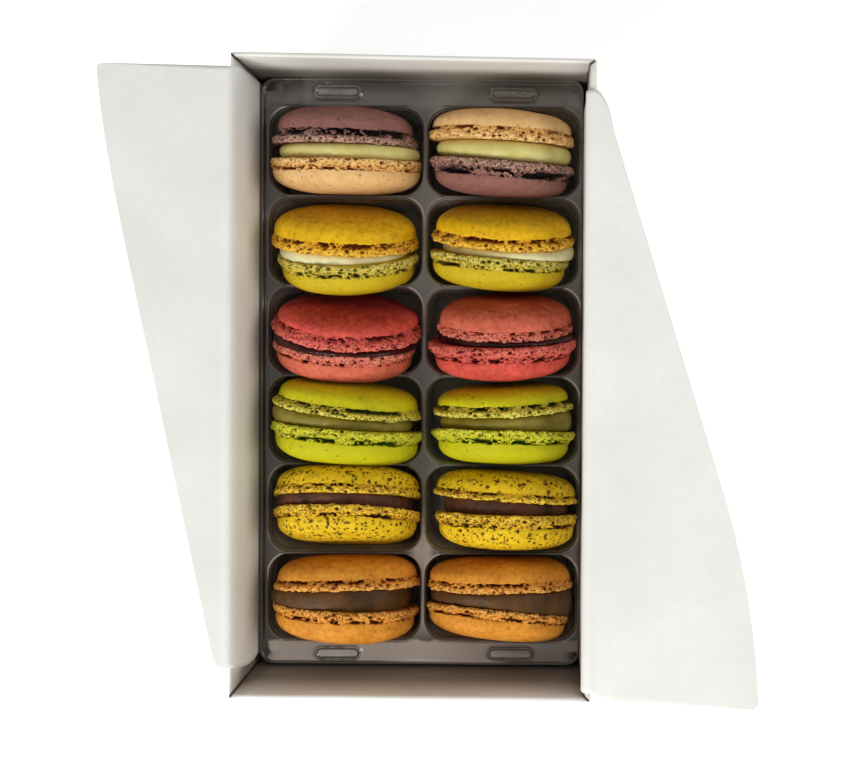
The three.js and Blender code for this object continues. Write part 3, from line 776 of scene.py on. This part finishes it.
def shellMaterial(name, look):
    material, shader = newMaterial("shell_" + name, Roughness=0.68, Specular_IOR_Level=0.25,
                                   Subsurface_Weight=0.08, Subsurface_Scale=0.001)
    place = objectPlace(shader)
    foot, pore, crown, pale = [valueOf(shader, key) for key in ("foot", "pore", "crown", "pale")]
    holeShadeAndSpeckTone = seen(look["pore"])
    cloud = noiseOf(place, 120, 3, 0.6)
    grain = noiseOf(place, 2600, 2, 0.6)
    crumbs = noiseOf(place, 1500, 2, 0.6)
    mottle = noiseOf(place, 560, 3, 0.65)
    # browner towards the dome's middle by the crown attribute: partly browning, partly painted shade
    browningAndShade = sumOf(rangeOf(cloud, 0.35, 0.7, 0, 0.35), productOf(crown, 0.65),
                  rangeOf(mottle, 0.42, 0.7, 0, 0.5))
    dome = mixTones(browningAndShade, seen(look["dome"]), seen(look["mottle"]))
    dome = mixTones(rangeOf(grain, 0.5, 0.8, 0, 0.3), dome, seen(look["mottle"]))
    # the crumb tone by noise, and through pale the lip paler and a painted highlight on the raised crumbs
    light = sumOf(rangeOf(crumbs, 0.4, 0.62, -0.3, 0.5), pale)
    tone = mixTones(foot, dome, mixTones(light, seen(look["foot"]), seen(look["crumb"])))
    # small darker specks on the dome, and painted shade in fine pores of the foot
    for scale, radius, chance, strength in shape["specks"]:
        spots = spotsOf(place, scale, radius, 1.7, chance * look["specks"])
        tone = mixTones(productOf(spots, strength), tone, holeShadeAndSpeckTone)
    scale, radius, chance, strength = shape["pores"]
    tone = mixTones(productOf(spotsOf(place, scale, radius, 1.7, chance), foot, strength), tone, holeShadeAndSpeckTone)
    # painted shade in the foot's tears, holes and pits
    tone = mixTones(pore, tone, holeShadeAndSpeckTone)
    relief = sumOf(productOf(crumbs, productOf(foot, 3.0)), grain)
    # a shell full of specks has coarse broken flecks in clusters: spots in a place shifted about by a noise
    if look["specks"] >= 1:
        shift = noiseOf(place, 1700, 3, output="Color")
        moved = addNode(place, "ShaderNodeVectorMath", {0: shift, 1: [shape["scatter"]] * 3, 2: place},
                        operation="MULTIPLY_ADD").outputs[0]
        cluster = rangeOf(noiseOf(place, 190, 2), 0.36, 0.6, 0.25, 1.0)
        for scale, radius, chance, strength in shape["flecks"]:
            spots = spotsOf(moved, scale, radius, 1.5, productOf(cluster, chance))
            spots = productOf(spots, rangeOf(foot, 0, 1, 1, 0.4))
            tone = mixTones(productOf(spots, strength), tone, holeShadeAndSpeckTone)
            relief = mathOf("SUBTRACT", relief, productOf(spots, 2.0))
    dress(shader, tone, relief, 0.12)
    return material


def fillingMaterial(name, look):
    material, shader = newMaterial("filling_" + name, Roughness=look["roughness"], Specular_IOR_Level=0.3,
                                   Subsurface_Weight=0.12, Subsurface_Scale=0.002)
    place = objectPlace(shader)
    cloud = rangeOf(noiseOf(place, 160, 3), 0.3, 0.7)
    tone = mixTones(cloud, seen(look["tone"]), seen(look["shade"]))
    if name == "cream":
        tone = mixTones(spotsOf(place, 260, 0.1, 1.6, 0.24, "Green"), tone, seen(shape["vanilla"]))
    dress(shader, tone, noiseOf(place, 900, 3, 0.6), 0.1)
    return material


# A shell's section, from the middle of its flat side to the middle of its dome, as distance from the axis and
# height above the flat side. The foot's lip, its slant and the dome's skirt are Bezier curves. The dome is a
# superellipse: height = domeHeight (1 - s^crown)^shoulder at s times the dome's radius.
def shellSection(crown, footHeight, footRadius, domeHeight, domeRadius):
    lip = footRadius - shape["lip"]
    flat = np.stack([np.array([0.4, 0.8]) * lip, np.zeros(2)], -1)
    edge = bezier([(lip, 0), (footRadius - 0.3, -0.05), (footRadius + 0.1, 0.05 * footHeight),
                   (footRadius, 0.34 * footHeight)], 16)
    slant = bezier([(footRadius, 0.34 * footHeight), (footRadius - 0.15, 0.6 * footHeight),
                    (domeRadius + 0.3, 0.8 * footHeight), (domeRadius - 0.12, footHeight)], 22)[1:]
    skirt = bezier([(domeRadius - 0.12, footHeight), (domeRadius, footHeight + 0.02),
                    (domeRadius, footHeight + 0.25), (domeRadius, footHeight + 0.55)], 6)[1:]
    s = np.cos(np.linspace(0.14, math.pi / 2 - 0.04, 32))
    arch = (1 - s ** crown) ** shape["shoulder"]
    dome = np.stack([s * domeRadius, footHeight + domeHeight * arch], -1)
    return np.concatenate([flat, edge, slant, skirt, dome[dome[:, 1] > footHeight + 0.6]])


# Angles from the top of a shell round to its bottom and back, gathered at the top:
# a = pi (s - g sin(pi s) / pi).
def gatheredAngles(count):
    s = np.linspace(-1, 1, count, endpoint=False)
    return math.pi * (s - shape["gather"] * np.sin(math.pi * s) / math.pi)


# The section turned round the axis, then broken up. Noise makes the foot ragged, two foams pit it, and a band
# of it under the dome is torn where a noise passes a limit. The dome has faint lumps. `facing` is 1 for an
# upper shell and -1 for a lower one.
def shellGrid(sizes, facing, look, seed):
    section = shellSection(look["crown"], *sizes)
    footHeight, footRadius, domeHeight = sizes[:3]
    tearStart, tearing = look["tear"]
    angle = gatheredAngles(shape["turns"])
    rho, height = section[:, :1], section[:, 1:]
    local = pointsOf(rho * np.sin(angle), rho * np.cos(angle), height) + 61.0 * seed

    def noise(size, step, squeeze=1.0):
        return softNoise(local * squeeze, size, seed + step)

    risen = height / footHeight
    side = np.maximum(ramp(footRadius - 1.7, footRadius - 0.9, rho), ramp(0.2, 0.35, risen))
    side = side * ramp(1.06, 0.98, risen)
    band = ramp(tearStart, tearStart + 0.25, risen) * ramp(1.02, 0.97, risen)
    gate = noise(1.9, 3, [0.6, 0.6, 1.0]) + 0.6 * noise(0.8, 4)
    torn = band * ramp(-0.12 - tearing, 0.2 - tearing, gate)
    distance, share = foam(local * [0.8, 0.8, 1.1], shape["holes"], seed + 10)
    holes = ramp(0.52, 0.22, distance) * ramp(0.3, 0.65, share)
    distance, share = foam(local, shape["pits"], seed + 20)
    pits = ramp(0.55, 0.25, distance) * ramp(0.15, 0.6, share)
    crumb = 0.3 * noise(5.0, 0) + 0.3 * noise(1.7, 1) + 0.26 * noise(0.75, 2)
    cut = look["rough"] * (shape["tearDepth"] * torn + shape["holeDepth"] * holes + shape["pitDepth"] * pits)
    above = ramp(1.0, 1.6, risen)
    lumps = (0.18 * noise(8, 5) + 0.05 * noise(2.4, 6)) * above
    newRho = rho + side * (crumb - np.minimum(cut, shape["deepest"])) + lumps
    if look["specks"] >= 1:
        newRho += (0.16 * noise(1.3, 35) + 0.14 * noise(2.7, 36)) * above
    ragged = 0.34 * noise(3.1, 7) + 0.26 * noise(0.9, 8)
    wobble = ragged * (np.exp(-((height - footHeight) / 0.9) ** 2) * 0.8 + side * ramp(0.35, 0.05, risen))
    newHeight = height + wobble + lumps * 0.7
    grid = pointsOf(newRho * np.sin(angle), facing * newHeight, newRho * np.cos(angle))
    crownBrowningAndShade = shape["toastAbove"] if facing > 0 else shape["toastBelow"]
    # pore is painted shade in the tears, holes and pits; pale paints the lip paler and a highlight on the
    # raised crumbs; crown is browning and painted shade towards the dome's middle
    values = {
        "foot": side,
        "pore": np.clip(torn * 1.1 + ramp(0.2, 0.9, holes) * 0.85 + pits * 0.5, 0, 1) * side,
        "pale": side * ramp(0.75, 0.1, risen) * 0.55 + side * ramp(0.1, 0.45, crumb) * 0.4,
        "crown": ramp(0.3, 1.0, (height - footHeight) / domeHeight) * crownBrowningAndShade,
    }
    return grid, {key: np.append(value + np.zeros(grid.shape[:2]), [0, 0]) for key, value in values.items()}


# Turns points by a shell's lean about X, then by its turn about Z, and moves them to its place.
def placed(points, shell, height):
    lean, turn = math.radians(shell[2]), math.radians(shell[3])
    x, y, z = points[..., 0], points[..., 1], points[..., 2]
    tilted = y * math.cos(lean) - z * math.sin(lean)
    risen = y * math.sin(lean) + z * math.cos(lean)
    turnedX = x * math.cos(turn) - tilted * math.sin(turn)
    turnedY = x * math.sin(turn) + tilted * math.cos(turn)
    return pointsOf(turnedX, turnedY, risen) + np.array([shell[0], shell[1], height])


# Below the deck, draws what reaches past the pocket's rounded outline back to it.
def heldInPocket(points, middle):
    z = points[..., 2:]
    depth = tray["deck"] - z
    shrink = shape["clearance"] + np.clip(depth, 0, 40) * tray["draft"] + tray["step"] * (depth > 1)
    core = np.array([tray["halfX"], tray["halfY"]]) - tray["corner"]
    away = points[..., :2] - middle
    inner = np.clip(away, -core, core)
    rest = away - inner
    reach = np.linalg.norm(rest, axis=-1, keepdims=True) + 1e-9
    hold = ramp(tray["deck"] + 1.6, tray["deck"] + 0.3, z)
    scale = 1 - hold * (1 - np.minimum(1, (tray["corner"] - shrink) / reach))
    return np.concatenate([middle + inner + rest * scale, np.maximum(z, tray["floor"] + 0.15)], -1)


def buildShell(name, shell, facing, height, pocket, kind, seed):
    sizes = shell[4:]
    grid, values = shellGrid(sizes, facing, flavours[kind], seed)
    poles = [placed(np.array([0, y, 0]), shell, height) for y in (0, facing * (sizes[0] + sizes[2]))]
    points, quads, triangles = ringSurface(heldInPocket(placed(grid, shell, height), pocket), *poles)
    obj = putMesh(name + "_skin", points, quads[:, ::facing], triangles[:, ::facing], values)
    finishPiece(obj, "box", kind, shellLooks[kind], name)


# The filling lies between the flat sides of the two shells, which may splay apart: each point is at the share
# t of the way from the lower one to the upper one, at a radius that swells in the middle.
def buildFilling(name, lower, upper, ends, height, pocket, kind, seed):
    look, (left, right) = fillings[kind], ends
    angle = gatheredAngles(shape["fillingTurns"])
    t = np.concatenate([[0, 0], (1 - np.cos(np.linspace(0, math.pi, 17))) / 2, [1, 1]])[:, None]
    radius = (right - left) / 2
    thickness = abs(upper[1] - lower[1])
    swell = look["round"] * thickness / 2 * (1 - np.sqrt(1.0001 - (2 * t - 1) ** 2))
    inside = np.array([0.5, 0.85] + [1.0] * 17 + [0.85, 0.5])[:, None]
    local = pointsOf(radius * np.sin(angle), radius * np.cos(angle), thickness * t) + 43.0 * seed
    wave = 0.3 * softNoise(local * [1, 1, 0.4], 6, seed) + 0.1 * softNoise(local, 1.8, seed + 1)
    streak = 0.22 * softNoise(local * [1, 1, 0.12], 0.9, seed + 2) + 0.12 * softNoise(local, 0.8, seed + 3)
    rho = (radius - swell + wave + look["streaks"] * streak) * inside
    pair = []
    for shell in (lower, upper):
        shift = (left + right) / 2 - shell[0]
        pair.append(placed(pointsOf(rho * np.sin(angle) + shift, 0, rho * np.cos(angle)), shell, height))
    mix = (0.015 + 0.97 * t)[..., None]
    points = heldInPocket(pair[0] * (1 - mix) + pair[1] * mix, pocket)
    obj = putMesh(name + "_skin", *ringSurface(points, points[0].mean(axis=0), points[-1].mean(axis=0)))
    finishPiece(obj, "box", kind, fillingLooks[kind], name)


shellLooks = {name: shellMaterial(name, look) for name, look in flavours.items()}
fillingLooks = {name: fillingMaterial(name, look) for name, look in fillings.items()}
for number, (height, ends, upper, lower) in enumerate(macarons):
    row, column = number // 2 + 1, number % 2
    *kinds, turnedOver = rowKinds[row - 1]
    if turnedOver and column == 1:
        kinds.reverse()
    name = f"row{row}_" + ("left", "right")[column]
    pocket = pocketMiddle(column, row)
    seed = number * 7
    buildShell(name + "_upper", upper, 1, height, pocket, kinds[0], 100 + seed)
    buildFilling(name + "_filling", lower, upper, ends, height, pocket, kinds[1], 300 + seed)
    buildShell(name + "_lower", lower, -1, height, pocket, kinds[2], 200 + seed)
print("macarons done")


# ---- floor, light and camera

studio = {
    "floor": (252, 252, 251), "floorShade": (247, 247, 246), "floorSize": 3000, "floorDrop": 0.05,
    "glow": 0.4, "world": (1.0, 0.997, 0.99), "worldStrength": 0.42,
    # place, width, depth and power
    "key": ((-0.50, -0.66, 0.62), 0.45, 0.45, 7.4),
    "side": ((0.60, 0.06, 0.38), 0.4, 0.4, 1.5),
}
view = {
    "place": (0.0184, 0.01165, 0.300), "tilt": -1.0, "roll": 0.4, "lens": 36.0, "sensor": 36.0,
    "shift": (-0.0694, -0.0356),
}


# A light that faces the middle of the box.
def addAreaLight(name, place, width, depth, power):
    light = bpy.data.lights.new(name, "AREA")
    light.shape = "RECTANGLE"
    light.size, light.size_y = width, depth
    light.energy = power
    obj = bpy.data.objects.new(name, light)
    bpy.context.collection.objects.link(obj)
    obj.location = place
    away = np.array(place) - np.array([0, 0, 0.03])
    obj.rotation_euler = (math.atan2(math.hypot(away[0], away[1]), away[2]), 0, math.atan2(away[0], -away[1]))


def buildStudio():
    edge = np.linspace(-0.5, 0.5, 31) * studio["floorSize"]
    x, y = np.meshgrid(edge, edge)
    points = pointsOf(x, y, -studio["floorDrop"]).reshape(-1, 3)
    floor = putMesh("studio_floor", points, gridFaces(31, 31))
    material, shader = newMaterial("paleFloor", Roughness=0.9, Emission_Strength=studio["glow"],
                                   Emission_Color=(1, 1, 1, 1))
    shade = rangeOf(noiseOf(objectPlace(shader), 6, 2), 0.3, 0.7)
    feed(shader.inputs["Base Color"], mixTones(shade, seen(studio["floor"]), seen(studio["floorShade"])))
    floor.data.materials.append(material)
    world = bpy.data.worlds.new("softRoom")
    bpy.context.scene.world = world
    world.use_nodes = True
    background = world.node_tree.nodes["Background"]
    background.inputs["Color"].default_value = (*studio["world"], 1)
    background.inputs["Strength"].default_value = studio["worldStrength"]
    for name in ("key", "side"):
        addAreaLight(name + "Light", *studio[name])


def buildCamera():
    data = bpy.data.cameras.new("photoCamera")
    data.lens, data.sensor_width = view["lens"], view["sensor"]
    data.sensor_fit = "HORIZONTAL"
    data.shift_x, data.shift_y = view["shift"]
    data.clip_start = 0.01
    camera = bpy.data.objects.new("photoCamera", data)
    bpy.context.collection.objects.link(camera)
    camera.location = view["place"]
    camera.rotation_euler = (math.radians(view["tilt"]), 0, math.radians(view["roll"]))
    bpy.context.scene.camera = camera


buildStudio()
buildCamera()
bpy.context.scene.view_settings.view_transform = "Standard"
print("studio done")
